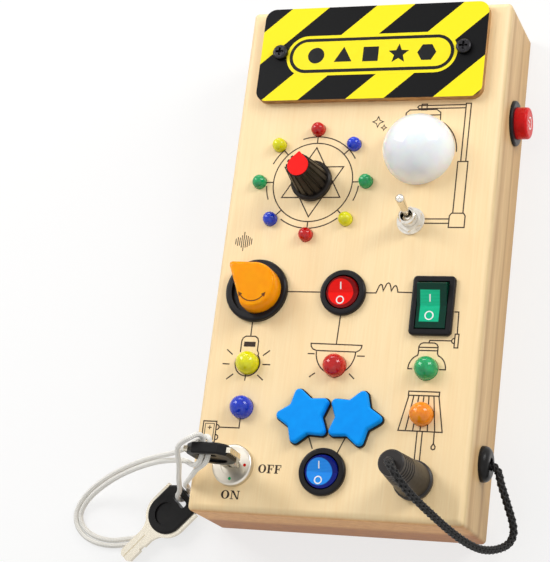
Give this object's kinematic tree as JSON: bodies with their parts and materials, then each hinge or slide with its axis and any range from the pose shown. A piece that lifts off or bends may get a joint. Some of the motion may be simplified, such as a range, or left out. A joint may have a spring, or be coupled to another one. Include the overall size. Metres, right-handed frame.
{
  "type": "wooden busy board",
  "caption": "Flat wooden toddler board on its back with a knob, selector, rocker, toggle and star switches, coloured lamps, a key lock with keys and a corded plug.",
  "frame": {"origin": "centre of the back face, which the board lies on", "axes": "+X across the board to its right side, +Y along it towards the sign plate, +Z out of the front face"},
  "size_m": [0.1685, 0.2028, 0.0693],
  "materials": {
    "wood_case": "sanded clear-varnished softwood",
    "hardboard": "pressed hardboard",
    "steel": "zinc plated steel",
    "black_abs": "moulded ABS",
    "cell_skin": "printed shrink sleeve",
    "plywood": "printed plywood",
    "lamp_red": "tinted epoxy",
    "lamp_blue": "tinted epoxy",
    "lamp_green": "tinted epoxy",
    "lamp_yellow": "tinted epoxy",
    "lamp_orange": "tinted epoxy",
    "circuit_board": "glass epoxy laminate with solder mask",
    "grey_abs": "moulded ABS",
    "milk_dome": "moulded milky polycarbonate",
    "red_cap": "moulded ABS",
    "amber_cap": "moulded ABS",
    "red_switch": "moulded polycarbonate",
    "blue_switch": "moulded polycarbonate",
    "green_switch": "moulded polycarbonate",
    "nickel": "nickel plated brass",
    "star_blue": "moulded acrylic",
    "rubber_black": "moulded rubber",
    "brass": "tinned brass",
    "cord_black": "braided polyester",
    "lace_white": "braided cotton"
  },
  "bodies": {
    "board": {"case": "wood_case", "back_cover": "hardboard", "back_screws": "steel", "battery_box": "black_abs", "battery_cells": "cell_skin", "battery_contacts": "steel", "sign_plate": "plywood", "sign_screws": "steel", "lamps_red": "lamp_red", "lamps_blue": "lamp_blue", "lamps_green": "lamp_green", "lamps_yellow": "lamp_yellow", "lamp_orange": "lamp_orange", "lamp_leads": "steel", "ring_board": "circuit_board", "control_board": "circuit_board", "board_spacers": "grey_abs", "board_screws": "steel", "bulb_dome": "milk_dome", "bulb_lamp": "milk_dome", "rotary_switch": "steel", "rotary_nut": "steel", "selector_bezel": "black_abs", "selector_switch": "black_abs", "round_housings": "black_abs", "square_housing": "black_abs", "toggle_switch": "steel", "toggle_nuts": "nickel", "star_bases": "black_abs", "star_faces": "star_blue", "lock_barrel": "nickel", "lock_contacts": "black_abs", "spare_key_blade": "nickel", "spare_key_bow": "black_abs", "button_bezel": "black_abs", "button_switch": "black_abs", "button_spring": "steel", "jack_socket": "black_abs", "cord_grommet": "rubber_black", "ring_nuts": "steel", "switch_terminals": "brass", "plug_cord": "cord_black", "key_lace": "lace_white"},
    "knob": {"knob_body": "black_abs", "knob_cap": "red_cap", "knob_shaft": "grey_abs"},
    "selector": {"selector_cap": "amber_cap"},
    "red_switch": {"red_rocker": "red_switch"},
    "blue_switch": {"blue_rocker": "blue_switch"},
    "green_switch": {"green_rocker": "green_switch"},
    "toggle": {"toggle_lever": "nickel"},
    "cylinder": {"lock_cylinder": "nickel"},
    "key": {"key_blade": "nickel", "key_bow": "black_abs"},
    "button": {"button_cap": "red_cap"},
    "plug": {"plug_barrel": "rubber_black", "plug_pin": "nickel"},
    "door": {"battery_door": "black_abs", "door_screw": "steel"}
  },
  "joints": [
    {"name": "knob_turn", "type": "hinge", "parent": "board", "child": "knob", "pos_m": [-0.0175, 0.026, 0.032], "axis": [0, 0, 1], "range_deg": [-180, 135]},
    {"name": "selector_turn", "type": "hinge", "parent": "board", "child": "selector", "pos_m": [-0.033, -0.0151, 0.032], "axis": [0, 0, 1], "range_deg": [-90, 0]},
    {"name": "red_rock", "type": "hinge", "parent": "board", "child": "red_switch", "pos_m": [-0.001, -0.0153, 0.0323], "axis": [1, 0, 0], "range_deg": [-20, 0]},
    {"name": "blue_rock", "type": "hinge", "parent": "board", "child": "blue_switch", "pos_m": [-0.001, -0.0786, 0.0323], "axis": [1, 0, 0], "range_deg": [-20, 0]},
    {"name": "green_rock", "type": "hinge", "parent": "board", "child": "green_switch", "pos_m": [0.0315, -0.0195, 0.0323], "axis": [1, 0, 0], "range_deg": [-20, 0]},
    {"name": "toggle_flip", "type": "hinge", "parent": "board", "child": "toggle", "pos_m": [0.0205, 0.0112, 0.0352], "axis": [1, 0, 0], "range_deg": [0, 25]},
    {"name": "key_turn", "type": "hinge", "parent": "board", "child": "cylinder", "pos_m": [-0.0334, -0.078, 0.032], "axis": [0, 0, 1], "range_deg": [-90, 0], "deforming": ["key_lace"]},
    {"name": "key_pull", "type": "slide", "parent": "cylinder", "child": "key", "axis": [0, 0, 1], "range_m": [0, 0.009], "deforming": ["key_lace"]},
    {"name": "button_press", "type": "slide", "parent": "board", "child": "button", "axis": [-1, 0, 0], "range_m": [0, 0.002], "stiffness_N_per_m": 300, "deforming": ["button_spring"]},
    {"name": "plug_pull", "type": "slide", "parent": "board", "child": "plug", "axis": [0, 0, 1], "range_m": [0, 0.015], "deforming": ["plug_cord"]},
    {"name": "door_lift", "type": "slide", "parent": "board", "child": "door", "axis": [0, 0, -1], "range_m": [0, 0.012]}
  ]
}
